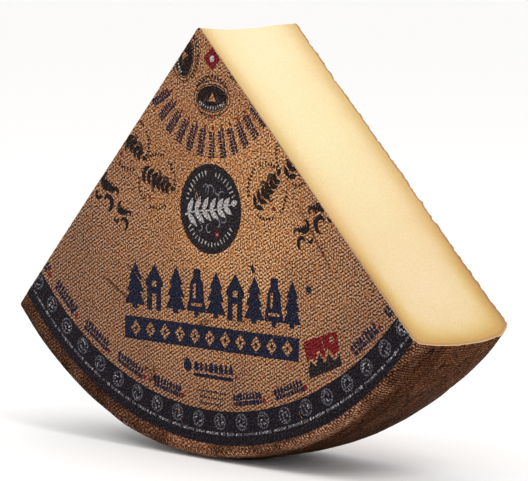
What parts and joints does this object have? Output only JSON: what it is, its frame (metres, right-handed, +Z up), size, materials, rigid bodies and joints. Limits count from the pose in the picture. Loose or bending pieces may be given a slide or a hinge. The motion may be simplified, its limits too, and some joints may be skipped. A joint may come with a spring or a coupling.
{
  "type": "cheese wedge",
  "caption": "Quarter of a large hard cheese wheel, with brown rind, pale cut faces and a printed paper label, standing on its rim.",
  "frame": {"origin": "on the surface the wedge stands on, under the middle of its bounding box", "axes": "+Z up, from the rim to the cut tip; +Y along the wheel's axis, from the label face to the back face; +X to the right, seen from the label side"},
  "size_m": [0.4432, 0.0988, 0.3182],
  "materials": {
    "cheese_paste": "satin",
    "cheese_rind": "matte",
    "printed_paper": "matte"
  },
  "bodies": {
    "root": {"cheese_wedge": "cheese_paste", "face_label": "printed_paper"}
  },
  "joints": []
}
